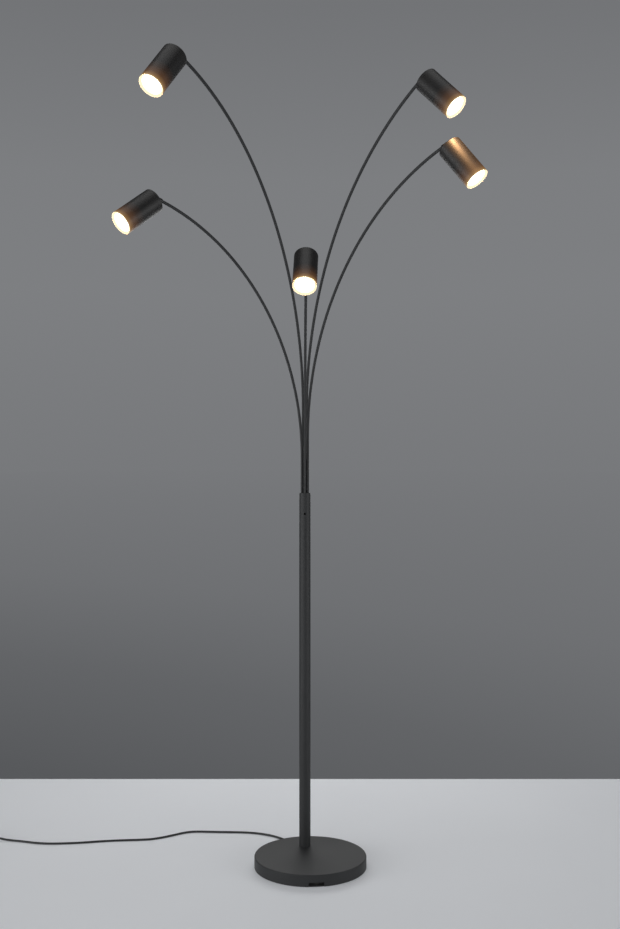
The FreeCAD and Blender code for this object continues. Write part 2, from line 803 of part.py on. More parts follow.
def switch_tray():
    outside = rounded_block(switch_length, switch_width, 0, switch_split, switch_corner)
    outside = outside.makeChamfer(small_edge, edges_at(outside, 0))
    wall = switch_wall
    inside = rounded_block(switch_length - 2 * wall, switch_width - 2 * wall, wall,
                           switch_height, switch_corner - wall)
    pedestal_top = switch_height - wall - button_flange - button_travel - button_gap
    pedestal = cylinder(pedestal_diameter / 2, wall / 2, pedestal_top)
    nubs = [cord_nub(side, 0, switch_split) for side in (-1, 1)]
    tray = joined(outside.cut(inside), pedestal, *nubs)
    tray.translate(V(switch_x, switch_y, 0))
    return tray


def switch_cover():
    wall = switch_wall
    outside = rounded_block(switch_length, switch_width, switch_split, switch_height, switch_corner)
    outside = outside.makeFillet(switch_top_radius, edges_at(outside, switch_height))
    inside = rounded_block(switch_length - 2 * wall, switch_width - 2 * wall, 0,
                           switch_height - wall, switch_corner - wall)
    hole = cylinder(button_diameter / 2 + button_gap, 0, switch_height + past)
    nubs = [cord_nub(side, switch_split, switch_height) for side in (-1, 1)]
    cover = joined(cut(outside, inside, hole), *nubs)
    cover.translate(V(switch_x, switch_y, 0))
    return cover


def switch_button():
    underside = switch_height - switch_wall
    flange = cylinder(button_diameter / 2 + button_flange_width, underside - button_flange, underside)
    key = cylinder(button_diameter / 2, underside - button_flange, switch_height + button_proud)
    key = key.makeFillet(button_top_radius, edges_at(key, switch_height + button_proud))
    button = joined(flange, key)
    button.translate(V(switch_x, switch_y, 0))
    return button


def plug_place(shape):
    """Moves a piece made along +X from the cord's end to where the plug lies."""
    way = route_to_plug[-1] - route_to_plug[-2]
    shape = shape.copy()
    shape.rotate(V(0, 0, 0), UP, math.degrees(math.atan2(way.y, way.x)))
    shape.translate(V(route_to_plug[-1].x, route_to_plug[-1].y, 0))
    return shape


def plug_body():
    half = plug_width / 2
    tail = plug_tail_width / 2
    outline = [
        V(0, -tail, 0),
        V(plug_length - plug_shoulder, -half, 0),
        V(plug_length, -half, 0),
        V(plug_length, half, 0),
        V(plug_length - plug_shoulder, half, 0),
        V(0, tail, 0),
    ]
    body = Part.Face(Part.makePolygon(outline + outline[:1])).extrude(UP * plug_height)
    upright = [e for e in body.Edges if e.BoundBox.ZLength > plug_height / 2]
    body = body.makeFillet(plug_corner_radius, upright)
    return plug_place(body.makeFillet(plug_edge_radius, edges_at(body, 0) + edges_at(body, plug_height)))


def plug_pins():
    pins = []
    for side in (-1, 1):
        start = V(plug_length, side * plug_pin_spacing / 2, plug_z)
        pin = Part.makeCylinder(plug_pin_diameter / 2, plug_pin_length, start, V(1, 0, 0))
        tip = [e for e in pin.Edges if e.BoundBox.XMin > plug_length + plug_pin_length / 2]
        pins.append(plug_place(pin.makeFillet(plug_pin_diameter / 4, tip)))
    return Part.makeCompound(pins)


# ---- the whole lamp ---------------------------------------------------------------------
def build():
    frames = [ArmFrame(arm) for arm in arms]
    save("base_cover", base_cover())
    save("base_weight", base_weight())
    save("base_pad", base_pad())
    save("pole_tube", pole_tube())
    save("pole_foot_insert", pole_foot_insert())
    save("pole_stud", pole_stud())
    save("stud_nut", stud_nut())
    save("arm_socket", arm_socket(frames))
    save("grub_screw", grub_screw())
    save("lead_junction", lead_junction(frames))
    save("arm_leads", Part.makeCompound([arm_lead(frame) for frame in frames]))

    tip = arm_tip()
    head_pieces = {
        "head_fork": head_fork(),
        "head_fixings": head_fixings(),
        "head_shell": head_shell(),
        "lamp_holder": lamp_holder(),
        "lamp_bulb": lamp_bulb(),
    }
    for arm, frame in zip(arms, frames):
        save(f"arm_rod_{arm.name}", arm_rod(frame))
        save(f"arm_tip_{arm.name}", placed(tip, frame.pivot, frame.tilt_axis, frame.tangent))
        for name, piece in head_pieces.items():
            save(f"{name}_{arm.name}", placed(piece, frame.pivot, frame.tilt_axis, frame.head_axis))

    save("cord_inner", cord_inner())
    save("cord_outlet_sleeve", cord_outlet_sleeve())
    save("cord_clamp", cord_clamp())
    save_cord("cord_to_switch", route_to_switch)
    save_cord("cord_to_coil", route_to_coil)
    save("cord_coil", cord_coil())
    save("cord_tie", cord_tie())
    save_cord("cord_to_plug", route_to_plug)
    save("switch_tray", switch_tray())
    save("switch_cover", switch_cover())
    save("switch_button", switch_button())
    save("plug_body", plug_body())
    save("plug_pins", plug_pins())


build()
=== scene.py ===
import json
import math

import bmesh
import bpy
from mathutils import Matrix, Quaternion, Vector


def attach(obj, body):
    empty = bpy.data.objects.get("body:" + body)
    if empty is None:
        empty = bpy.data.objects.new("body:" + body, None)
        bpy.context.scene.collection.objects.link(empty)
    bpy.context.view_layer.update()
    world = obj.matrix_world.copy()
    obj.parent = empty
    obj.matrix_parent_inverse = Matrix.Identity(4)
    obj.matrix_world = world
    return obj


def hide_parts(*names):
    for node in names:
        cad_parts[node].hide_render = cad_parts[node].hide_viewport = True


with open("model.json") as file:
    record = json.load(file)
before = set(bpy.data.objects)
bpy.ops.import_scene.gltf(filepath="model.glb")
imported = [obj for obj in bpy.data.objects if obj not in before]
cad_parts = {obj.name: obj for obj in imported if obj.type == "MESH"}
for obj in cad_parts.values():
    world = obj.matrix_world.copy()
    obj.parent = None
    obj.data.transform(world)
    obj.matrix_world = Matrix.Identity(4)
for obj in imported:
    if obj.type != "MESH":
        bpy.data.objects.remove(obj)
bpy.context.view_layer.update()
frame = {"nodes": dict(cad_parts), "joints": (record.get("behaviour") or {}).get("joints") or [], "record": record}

ARMS = ("upper_left", "lower_left", "centre", "lower_right", "upper_right")

# ---- camera -----------------------------------------------------------------------------
# The photograph: 620 by 929 pixels, taken level, about 3 m in front of the lamp.
PHOTO_HEIGHT = 929
FOCAL_PIXELS = 1105
CAMERA_PLACE = (-0.0011, -2.961, 1.0762)
SENSOR = 36.0

camera_data = bpy.data.cameras.new("photo_camera")
camera_data.sensor_fit = "AUTO"
camera_data.sensor_width = SENSOR
camera_data.lens = SENSOR * FOCAL_PIXELS / PHOTO_HEIGHT
camera = bpy.data.objects.new("photo_camera", camera_data)
camera.location = CAMERA_PLACE
camera.rotation_euler = (math.radians(90), 0, 0)
bpy.context.scene.collection.objects.link(camera)
bpy.context.scene.camera = camera


# ---- mains cord -------------------------------------------------------------------------
CORD_DIAMETER = 0.006
FLOOR_Z = CORD_DIAMETER / 2
CORD_EXIT = (-0.05408, 0.16532, 0.0073)
SWITCH_X = -0.965
SWITCH_Y = 0.200
SWITCH_END = 0.060          # middle of the switch to where the cord leaves it
SWITCH_CORD_Z = 0.008
COIL_X = -1.046
COIL_Y = 0.262
COIL_Z = 0.004
COIL_RADIUS = 0.040         # where the inward spiral starts
PLUG_Z = 0.00685

route_along_floor = [
    CORD_EXIT,
    (-0.0605, 0.1780, 0.0063),
    (-0.0700, 0.1930, 0.0040),
    (-0.0850, 0.2110, FLOOR_Z),
    (-0.1090, 0.2330, FLOOR_Z),
    (-0.1480, 0.2535, FLOOR_Z),
    (-0.1920, 0.2635, FLOOR_Z),
    (-0.2400, 0.2650, FLOOR_Z),
    (-0.2900, 0.2675, FLOOR_Z),
    (-0.3380, 0.2710, FLOOR_Z),
    (-0.3660, 0.2620, FLOOR_Z),
    (-0.3910, 0.2430, FLOOR_Z),
    (-0.4240, 0.2195, FLOOR_Z),
    (-0.4550, 0.2035, FLOOR_Z),
    (-0.4970, 0.1980, FLOOR_Z),
    (-0.5400, 0.1950, FLOOR_Z),
    (-0.5940, 0.1875, FLOOR_Z),
    (-0.6400, 0.1765, FLOOR_Z),
    (-0.6900, 0.1695, FLOOR_Z),
    (-0.7400, 0.1660, FLOOR_Z),
    (-0.7800, 0.1725, FLOOR_Z),
    (-0.8200, 0.1860, FLOOR_Z),
    (-0.8580, 0.1955, FLOOR_Z),
    (-0.8770, 0.1988, 0.0046),
    (-0.8920, 0.2000, SWITCH_CORD_Z),
    (SWITCH_X + SWITCH_END, SWITCH_Y, SWITCH_CORD_Z),
]
route_to_coil = [
    (SWITCH_X, SWITCH_Y, SWITCH_CORD_Z),
    (SWITCH_X - SWITCH_END, SWITCH_Y, SWITCH_CORD_Z),
    (-1.0400, 0.2000, SWITCH_CORD_Z),
    (-1.0575, 0.2055, 0.0062),
    (-1.0725, 0.2175, 0.0044),
    (-1.0825, 0.2380, COIL_Z),
]
route_to_plug = [
    (-1.0840, 0.2760, 0.0096),
    (-1.0815, 0.2910, 0.0080),
    (-1.0780, 0.3055, PLUG_Z),
    (-1.0750, 0.3180, PLUG_Z),
]
COIL_TURN_POINTS = 16
LAYER_TURNS = 2
RISE_TURNS = 0.25           # part of a turn in which the cord climbs to the upper layer


def coil_points():
    """Two turns inwards on the floor, then outwards on top of them, a diameter apart."""
    points = []
    innermost = COIL_RADIUS - LAYER_TURNS * CORD_DIAMETER
    for k in range(2 * LAYER_TURNS * COIL_TURN_POINTS + 1):
        turn = k / COIL_TURN_POINTS
        past = max(0.0, turn - LAYER_TURNS)
        if past:
            radius = innermost + max(0.0, past - RISE_TURNS) * CORD_DIAMETER
        else:
            radius = COIL_RADIUS - turn * CORD_DIAMETER
        climb = min(1.0, past / RISE_TURNS)
        angle = math.pi - turn * 2 * math.pi
        x = COIL_X + radius * math.cos(angle)
        y = COIL_Y + radius * math.sin(angle)
        points.append((x, y, COIL_Z + climb * CORD_DIAMETER))
    return points


def round_cord(name, points, diameter):
    """Smooth round cord along a list of points."""
    curve = bpy.data.curves.new(name, "CURVE")
    curve.dimensions = "3D"
    curve.bevel_depth = 1.0     # times each point's own radius
    curve.bevel_resolution = 5
    curve.resolution_u = 6
    curve.use_fill_caps = True
    spline = curve.splines.new("NURBS")
    spline.points.add(len(points) - 1)
    for target, point in zip(spline.points, points):
        target.co = (*point, 1.0)
        target.radius = diameter / 2
    spline.order_u = 3
    spline.use_endpoint_u = True
    piece = bpy.data.objects.new(name, curve)
    bpy.context.scene.collection.objects.link(piece)
    return piece


mains_cord = round_cord(
    "mains_cord", route_along_floor + route_to_coil + coil_points() + route_to_plug, CORD_DIAMETER
)
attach(mains_cord, "stand")
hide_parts("cord_to_switch", "cord_to_coil", "cord_coil", "cord_to_plug")


# ---- finishes ---------------------------------------------------------------------------
class Value:
    """A number that varies over a surface: arithmetic on it adds Math nodes."""

    def __init__(self, tree, socket):
        self.tree = tree
        self.socket = socket

    def maths(self, operation, *inputs):
        return self.tree.add("ShaderNodeMath", dict(enumerate(inputs)), operation=operation)

    def __add__(self, other):
        return self.maths("ADD", self, other)

    __radd__ = __add__

    def __sub__(self, other):
        return self.maths("SUBTRACT", self, other)

    def __rsub__(self, other):
        return self.maths("SUBTRACT", other, self)

    def __mul__(self, other):
        return self.maths("MULTIPLY", self, other)

    __rmul__ = __mul__

    def __truediv__(self, other):
        return self.maths("DIVIDE", self, other)

    def __rtruediv__(self, other):
        return self.maths("DIVIDE", other, self)

    def __pow__(self, other):
        return self.maths("POWER", self, other)

    def at_least(self, low):
        return self.maths("MAXIMUM", self, low)

    def smooth(self, low, high):
        """0 below low, 1 above high, and a soft step between them."""
        sockets = {"Value": self, "From Min": low, "From Max": high}
        return self.tree.add("ShaderNodeMapRange", sockets, interpolation_type="SMOOTHSTEP")


class Tree:
    """The nodes of a material, a lamp or the world."""

    def __init__(self, owner):
        owner.use_nodes = True
        self.nodes = owner.node_tree.nodes
        self.links = owner.node_tree.links

    def put(self, socket, value):
        """Links a varying value to a socket, or sets an even one on it."""
        if isinstance(value, Value):
            self.links.new(value.socket, socket)
        else:
            socket.default_value = value

    def add(self, kind, sockets=None, output=0, **settings):
        """Adds a node of any type: its settings first, then the values or links of its sockets."""
        node = self.nodes.new(kind)
        for setting, value in settings.items():
            if setting == "stops":
                self.set_stops(node.color_ramp.elements, value)
            else:
                setattr(node, setting, value)
        for socket, value in (sockets or {}).items():
            self.put(node.inputs[socket], value)
        return Value(self, node.outputs[output])

    def set_stops(self, elements, stops):
        while len(elements) < len(stops):
            elements.new(0.5)
        for element, (position, colour) in zip(elements, stops):
            element.position = position
            element.color = (*colour, 1.0)

    def ramp(self, value, stops):
        """A colour along a list of (position, colour) stops."""
        return self.add("ShaderNodeValToRGB", {0: value}, stops=stops)

    def mixed(self, share, first, second):
        """A colour between two, by a share."""
        sockets = {0: share, 6: first, 7: second}
        return self.add("ShaderNodeMix", sockets, output=2, data_type="RGBA")

    def place(self):
        """Coordinates on the piece, in metres."""
        return self.add("ShaderNodeTexCoord", output="Object")

    def offset(self, origin):
        """The way from a point to each place on the piece."""
        sockets = {0: self.place(), 1: tuple(origin)}
        return self.add("ShaderNodeVectorMath", sockets, operation="SUBTRACT")

    def along(self, origin, way):
        """Distance in metres from a point, measured along a direction."""
        sockets = {0: self.offset(origin), 1: tuple(way)}
        return self.add("ShaderNodeVectorMath", sockets, output="Value", operation="DOT_PRODUCT")

    def distance(self, origin):
        """Straight distance in metres from a point."""
        sockets = {0: self.offset(origin)}
        return self.add("ShaderNodeVectorMath", sockets, output="Value", operation="LENGTH")

    def noise(self, per_metre, detail=3.0, roughness=0.5):
        sockets = {"Vector": self.place(), "Scale": per_metre, "Detail": detail, "Roughness": roughness}
        return self.add("ShaderNodeTexNoise", sockets, output="Fac")

    def pebbles(self, per_metre):
        """Distance to the nearest of evenly scattered points."""
        sockets = {"Vector": self.place(), "Scale": per_metre}
        return self.add("ShaderNodeTexVoronoi", sockets, output="Distance")


class Finish(Tree):
    """One material: even values on its shader, and nodes for what varies over the surface."""

    def __init__(self, name, colour, roughness, **even):
        self.material = bpy.data.materials.new(name)
        super().__init__(self.material)
        self.material.diffuse_color = (*colour, 1.0)
        self.shader = self.nodes["Principled BSDF"]
        self.colour = colour
        self.set("Base Color", (*colour, 1.0))
        self.set("Roughness", roughness)
        for socket, value in even.items():
            self.set(socket.replace("_", " "), value)

    def set(self, socket, value):
        self.put(self.shader.inputs[socket], value)

    def shade(self, share, darkest, lightest):
        """Spreads the colour between two multiples of itself, by a share."""
        low = (*[c * darkest for c in self.colour], 1.0)
        high = (*[c * lightest for c in self.colour], 1.0)
        self.set("Base Color", self.mixed(share, low, high))

    def glow(self, colour, strength=1.0):
        """Makes the surface shine by itself. It isn't sampled as a lamp, which would add grain."""
        self.set("Emission Color", colour)
        self.set("Emission Strength", strength)
        self.material.cycles.emission_sampling = "NONE"

    def bump(self, height, distance, strength):
        """Relief from a varying height, its depth in metres and its strength."""
        sockets = {"Height": height, "Distance": distance, "Strength": strength}
        self.set("Normal", self.add("ShaderNodeBump", sockets))


def linear(level):
    """Linear value of a level out of 255 on the screen."""
    share = level / 255
    return share / 12.92 if share < 0.04 else ((share + 0.055) / 1.055) ** 2.4


def shown(red, green=None, blue=None):
    """Linear colour that the screen shows as these levels; one level alone is a grey."""
    green = red if green is None else green
    blue = red if blue is None else blue
    return (linear(red), linear(green), linear(blue))


def cool(level):
    """A grey with a trace of blue."""
    return shown(level - 1.5, level, level + 2.5)


def cool_stops(levels):
    """Stops of a ramp through cool greys, from (position, level) pairs."""
    return [(position, cool(level)) for position, level in levels]


def powder_coat(name, colour, shine, relief):
    """Matt textured powder coat: pebbly skin, faint cloudy sheen, a few dust specks."""
    roughness = 0.5
    finish = Finish(name, colour, roughness, Specular_IOR_Level=shine)
    pebbles = finish.pebbles(900.0).smooth(0.05, 0.65)
    skin = finish.noise(420.0, 4.0, 0.6)
    clouds = finish.noise(6.0)
    specks = finish.noise(1500.0, 2.0).smooth(0.66, 0.74)
    finish.shade(clouds * 0.5 + skin * 0.3 + specks * 0.2, 0.75, 1.4)
    finish.set("Roughness", roughness + (clouds - 0.5) * 0.12 + (skin - 0.5) * 0.1)
    finish.bump(pebbles * 0.6 + skin * 0.4, 0.00012, relief)
    return finish


def black_steel(name, colour, shine):
    """Blackened steel of the forks and screws: smoother, with a thin oily sheen."""
    finish = Finish(name, colour, 0.38, Specular_IOR_Level=shine)
    skin = finish.noise(260.0, 4.0, 0.6)
    finish.shade(skin, 0.8, 1.3)
    finish.set("Roughness", 0.32 + skin * 0.14)
    finish.bump(skin, 0.00005, 0.4)
    return finish


def cast_iron():
    """Sand-cast iron under a thin coat of black, worn grey in patches."""
    finish = Finish("cast_iron", shown(30), 0.75)
    grains = finish.noise(320.0, 6.0, 0.65)
    patches = finish.noise(14.0, 4.0, 0.6)
    worn = (*shown(74, 72, 70), 1.0)
    finish.set("Base Color", finish.mixed(patches.smooth(0.58, 0.72), (*shown(28), 1.0), worn))
    finish.set("Roughness", 0.65 + grains * 0.2)
    finish.bump(grains, 0.0006, 0.8)
    return finish


def foam_pad():
    """Closed-cell foam under the base."""
    finish = Finish("foam_pad", shown(36, 36, 37), 0.9)
    finish.shade(finish.noise(30.0), 0.75, 1.3)
    finish.bump(finish.pebbles(1400.0), 0.0003, 0.6)
    return finish


def bright_metal(name, colour, roughness):
    """Plated or bare bright metal with faint handling marks."""
    finish = Finish(name, colour, roughness, Metallic=1.0)
    skin = finish.noise(180.0, 4.0, 0.6)
    finish.shade(skin, 0.8, 1.1)
    finish.set("Roughness", roughness + (skin - 0.5) * 0.2)
    finish.bump(skin, 0.00004, 0.4)
    return finish


def moulded_plastic(name, colour, roughness):
    """Moulded plastic with a fine spark-eroded grain."""
    finish = Finish(name, colour, roughness)
    grain = finish.noise(1300.0, 2.0)
    clouds = finish.noise(25.0)
    finish.shade(clouds * 0.7 + grain * 0.3, 0.8, 1.3)
    finish.set("Roughness", roughness + (grain - 0.5) * 0.15)
    finish.bump(grain, 0.00008, 0.5)
    return finish


def cord_sheath():
    """Smooth sheath of the cord, a little dusty."""
    finish = Finish("cord_sheath", shown(30, 31, 33), 0.42)
    clouds = finish.noise(40.0)
    skin = finish.noise(700.0, 2.0)
    finish.shade(clouds * 0.7 + skin * 0.3, 0.75, 1.45)
    finish.set("Roughness", 0.34 + clouds * 0.2)
    finish.bump(skin, 0.00004, 0.4)
    return finish


def white_ceramic():
    """Half-matt ceramic of the lamp holders."""
    finish = Finish("white_ceramic", shown(232, 228, 218), 0.55)
    skin = finish.noise(300.0, 4.0, 0.6)
    finish.shade(skin, 0.9, 1.05)
    finish.bump(skin, 0.0001, 0.4)
    return finish


finishes = {
    "black_powder_coat": powder_coat("black_powder_coat", shown(50, 51, 52), 0.25, 0.12),
    "black_steel": black_steel("black_steel", shown(24, 24, 25), 0.5),
    "cast_iron": cast_iron(),
    "foam_pad": foam_pad(),
    "zinc_steel": bright_metal("zinc_steel", shown(190, 192, 190), 0.35),
    "pin_brass": bright_metal("pin_brass", shown(205, 196, 170), 0.28),
    "black_plastic": moulded_plastic("black_plastic", shown(38, 38, 39), 0.5),
    "switch_button": moulded_plastic("switch_button", shown(56, 56, 58), 0.42),
    "tie_fabric": moulded_plastic("tie_fabric", shown(32, 32, 33), 0.9),
    "cord_rubber": cord_sheath(),
    "white_ceramic": white_ceramic(),
}
slot_of = {entry["node"]: entry["material_slot"] for entry in frame["record"]["subparts"]}


def dress(node, finish):
    """Gives a solid of the frame its finish."""
    for material_slot in frame["nodes"][node].material_slots:
        material_slot.material = finish.material


for node, slot in slot_of.items():
    if slot in finishes:
        dress(node, finishes[slot])
# The grub screw is near black, darker than the forks' steel: blackened steel, darkened further as painted shade of
# the recess it sits in.
dress("grub_screw", black_steel("black_steel_with_painted_shade", shown(5), 0.02))
mains_cord.data.materials.append(finishes["cord_rubber"].material)


# ---- heads ------------------------------------------------------------------------------
TILT_HEIGHT = 0.009         # tilt axis to the can's closed face
CAN_LENGTH = 0.111
CAN_WALL_MIDDLE = 0.0294    # radius halfway through the can's wall
WALL_BLEND = 0.0002         # half the band in which the painted light inside gives way to the painted glow outside
PAINTED_GLOW_REACH = 0.050          # how far along the can's outside the painted glow round its opening reaches
PAINTED_INSIDE_LIGHT_DEPTH = 0.040           # how far the painted light on the can's inside reaches
LENS_RADIUS = 0.0240
GLASS_GLOW = 3.0            # strength of the lit glass's own light


class Head:
    """One head's tilt axis, the way its light goes and its opening, from the joints at rest."""

    def __init__(self, arm):
        joints = {joint["name"]: joint for joint in frame["joints"]}
        swivel = joints["swivel_" + arm]
        tilt = joints["tilt_" + arm]
        self.body = "head_" + arm
        self.pivot = Vector(tilt["pos_m"])
        self.across = Vector(tilt["axis"]).normalized()
        turn = Quaternion(self.across, math.radians(-tilt["range_deg"][0]))
        self.light = (turn @ Vector(swivel["axis"])).normalized()
        self.opening = self.pivot + self.light * (TILT_HEIGHT + CAN_LENGTH)

    def matrix(self):
        """From a frame with its origin at the opening, X across and Z along the light."""
        side = self.light.cross(self.across)
        turned = Matrix((self.across, side, self.light)).transposed().to_4x4()
        return Matrix.Translation(self.opening) @ turned


heads = {arm: Head(arm) for arm in ARMS}


def can_coat_with_painted_glow(arm):
    """The can's powder coat, with painted light on its inside and a painted warm glow on its outside round the
    opening.
    """
    finish = powder_coat("can_coat_" + arm, shown(22, 21, 21), 0.5, 0.05)
    head = heads[arm]
    behind = finish.along(head.opening, -head.light)
    far = finish.distance(head.opening)
    radius = (far * far - behind * behind).at_least(0.0) ** 0.5
    outside = radius.smooth(CAN_WALL_MIDDLE - WALL_BLEND, CAN_WALL_MIDDLE + WALL_BLEND)
    # Painted glow: warm emission on the can's outside, strongest at the opening and fading along the can.
    glow = (1.0 - behind / PAINTED_GLOW_REACH).at_least(0.0)
    painted_glow_stops = [
        (0.0, (0.0, 0.0, 0.0)),
        (0.36, (0.018, 0.007, 0.002)),
        (0.72, (0.075, 0.032, 0.011)),
        (0.92, (0.20, 0.105, 0.036)),
        (1.0, (0.38, 0.23, 0.09)),
    ]
    # Painted light on the can's inside: warm emission, brightest at the opening and fading with depth.
    lit = (1.0 - behind / PAINTED_INSIDE_LIGHT_DEPTH).at_least(0.0)
    painted_inside_light_stops = [
        (0.0, (0.0, 0.0, 0.0)),
        (0.1, (0.4, 0.2, 0.07)),
        (0.5, (1.0, 0.85, 0.55)),
        (1.0, (1.0, 0.9, 0.62)),
    ]
    painted_inside_light = finish.ramp(lit, painted_inside_light_stops)
    finish.glow(finish.mixed(outside, painted_inside_light, finish.ramp(glow, painted_glow_stops)))
    return finish


def lit_glass(arm):
    """The lamp's front glass: white in the middle, warmer towards its rim."""
    finish = Finish("lit_glass_" + arm, (0.9, 0.85, 0.75), 0.2)
    centre = heads[arm].opening - heads[arm].light * LAMP_RECESS
    stops = [(0.0, (1.0, 0.98, 0.92)), (0.8, (1.0, 0.93, 0.78)), (1.0, (1.0, 0.86, 0.6))]
    finish.glow(finish.ramp(finish.distance(centre) / LENS_RADIUS, stops), GLASS_GLOW)
    return finish


def lamp_body():
    """The lamp's rim and ribs: pale plastic that its own light warms."""
    finish = Finish("lamp_body", shown(235, 226, 205), 0.4)
    finish.shade(finish.noise(200.0), 0.92, 1.04)
    finish.glow((1.0, 0.82, 0.50, 1.0))
    return finish


for arm in ARMS:
    dress("head_shell_" + arm, can_coat_with_painted_glow(arm))


# ---- reflector lamps --------------------------------------------------------------------
LAMP_RADIUS = 0.025
LAMP_RECESS = 0.003         # opening to the lamp's front
LAMP_RIM = 0.007
LAMP_CONE = 0.025
LAMP_NECK = 0.014
LAMP_LENGTH = 0.046
LAMP_SEGMENTS = 72
RIBS = 18
RIB_DEPTH = 0.0012
RIB_MARGIN = 0.001          # plain band at each end of the ribs
TAPER_STEPS = 10
LENS_SET_BACK = 0.0010      # lens edge behind the rim's front
PIN_SPACING = 0.010
PIN_SEGMENTS = 20
PIN_LENGTH = 0.007
PIN_NECK_LENGTH = 0.0040    # thin stretch between the lamp and the pin's foot
PIN_ROOT = 0.0005           # how far a pin reaches into the lamp
PIN_CHAMFER = 0.0005
PIN_TIP_RADIUS = 0.0020
PIN_FOOT_RADIUS = 0.00245
PIN_NECK_RADIUS = 0.0016
WELD_DISTANCE = 0.00001
SHARP_EDGE = math.radians(35)


def linked_piece(name, mesh, materials):
    """Links a finished mesh as a smooth object whose sharp edges stay sharp."""
    data = bpy.data.meshes.new(name)
    for face in mesh.faces:
        face.smooth = True
    for edge in mesh.edges:
        if len(edge.link_faces) == 2 and edge.calc_face_angle() > SHARP_EDGE:
            edge.smooth = False
    mesh.to_mesh(data)
    mesh.free()
    for material in materials:
        data.materials.append(material)
    piece = bpy.data.objects.new(name, data)
    bpy.context.scene.collection.objects.link(piece)
    return piece


def spun(mesh, outline, segments, material, radius_at=None):
    """Adds a surface of revolution about Z from (radius, height) points."""
    rings = []
    added = []
    for radius, height in outline:
        ring = []
        for k in range(segments if radius else 1):
            angle = 2 * math.pi * k / segments
            r = radius_at(radius, height, angle) if radius_at and radius else radius
            ring.append(mesh.verts.new((r * math.cos(angle), r * math.sin(angle), height)))
        rings.append(ring)
        added.extend(ring)
    for lower, upper in zip(rings, rings[1:]):
        for k in range(segments):
            corners = (
                lower[k % len(lower)],
                lower[(k + 1) % len(lower)],
                upper[(k + 1) % len(upper)],
                upper[k % len(upper)],
            )
            face = mesh.faces.new(list(dict.fromkeys(corners)))
            face.material_index = material
    return added


def ribbed(radius, height, angle):
    """Cooling ribs along the lamp's tapered body."""
    rim_back = -LAMP_RECESS - LAMP_RIM
    if height > rim_back - RIB_MARGIN or height < rim_back - LAMP_CONE + RIB_MARGIN:
        return radius
    return radius - RIB_DEPTH * (1 - max(0.0, math.cos(RIBS * angle)))


def reflector_lamp(arm, materials):
    """Shallow lens in a rim, ribbed taper, round neck and two contact pins."""
    mesh = bmesh.new()
    front = -LAMP_RECESS
    lens_edge = (LENS_RADIUS, front - LENS_SET_BACK)
    lens = [
        (0, front - 0.0002),
        (0.006, front - 0.0002),
        (0.012, front - 0.0004),
        (0.018, front - 0.0007),
        (LENS_RADIUS - 0.0007, front - LENS_SET_BACK),
        lens_edge,
    ]
    spun(mesh, lens, LAMP_SEGMENTS, 0)
    rim = [
        lens_edge,
        (LENS_RADIUS + 0.0006, front - 0.0001),
        (LAMP_RADIUS - 0.0006, front),
        (LAMP_RADIUS, front - 0.0006),
        (LAMP_RADIUS, front - LAMP_RIM),
    ]
    spun(mesh, rim, LAMP_SEGMENTS, 1)
    back = front - LAMP_LENGTH
    taper = []
    for k in range(TAPER_STEPS + 1):
        share = k / TAPER_STEPS
        radius = LAMP_RADIUS + (LAMP_NECK - LAMP_RADIUS) * share
        taper.append((radius, front - LAMP_RIM - LAMP_CONE * share))
    neck = [(LAMP_NECK, back + 0.001), (LAMP_NECK - 0.001, back), (0, back)]
    spun(mesh, taper + neck, LAMP_SEGMENTS, 1, ribbed)
    for side in (-1, 1):
        pin = [
            (0, back - PIN_LENGTH),
            (PIN_TIP_RADIUS, back - PIN_LENGTH),
            (PIN_FOOT_RADIUS, back - PIN_LENGTH + PIN_CHAMFER),
            (PIN_FOOT_RADIUS, back - PIN_NECK_LENGTH),
            (PIN_NECK_RADIUS, back - PIN_NECK_LENGTH),
            (PIN_NECK_RADIUS, back + PIN_ROOT),
            (0, back + PIN_ROOT),
        ]
        points = spun(mesh, pin, PIN_SEGMENTS, 2)
        bmesh.ops.translate(mesh, verts=points, vec=(side * PIN_SPACING / 2, 0, 0))
    bmesh.ops.remove_doubles(mesh, verts=mesh.verts, dist=WELD_DISTANCE)
    bmesh.ops.recalc_face_normals(mesh, faces=mesh.faces)
    bmesh.ops.transform(mesh, matrix=heads[arm].matrix(), verts=mesh.verts)
    piece = linked_piece("reflector_lamp_" + arm, mesh, materials)
    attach(piece, heads[arm].body)
    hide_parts("lamp_bulb_" + arm)


pale_body = lamp_body().material
for arm in ARMS:
    reflector_lamp(arm, [lit_glass(arm).material, pale_body, finishes["pin_brass"].material])


# ---- light from the lamps ---------------------------------------------------------------
LAMP_WATTS = 1.5
LAMP_COLOUR = (1.0, 0.55, 0.25)
LAMP_FADE = (0.14, 0.28)    # distances over which a lamp's light on other things fades out


def lamp_light(arm):
    """Warm light from a lamp's front on what is near it."""
    head = heads[arm]
    data = bpy.data.lights.new("lamp_light_" + arm, "AREA")
    data.shape = "DISK"
    data.size = 2 * LENS_RADIUS
    data.energy = LAMP_WATTS
    data.color = LAMP_COLOUR
    tree = Tree(data)
    reach = tree.add("ShaderNodeLightPath", output="Ray Length").smooth(*LAMP_FADE)
    tree.put(tree.nodes["Emission"].inputs["Strength"], 1.0 - reach)
    light = bpy.data.objects.new("lamp_light_" + arm, data)
    bpy.context.scene.collection.objects.link(light)
    light.visible_camera = False
    back_a_little = Matrix.Translation((0, 0, -LAMP_RECESS / 2))
    light.matrix_world = head.matrix() @ back_a_little @ Matrix.Rotation(math.pi, 4, "X")
    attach(light, head.body)


for arm in ARMS:
    lamp_light(arm)


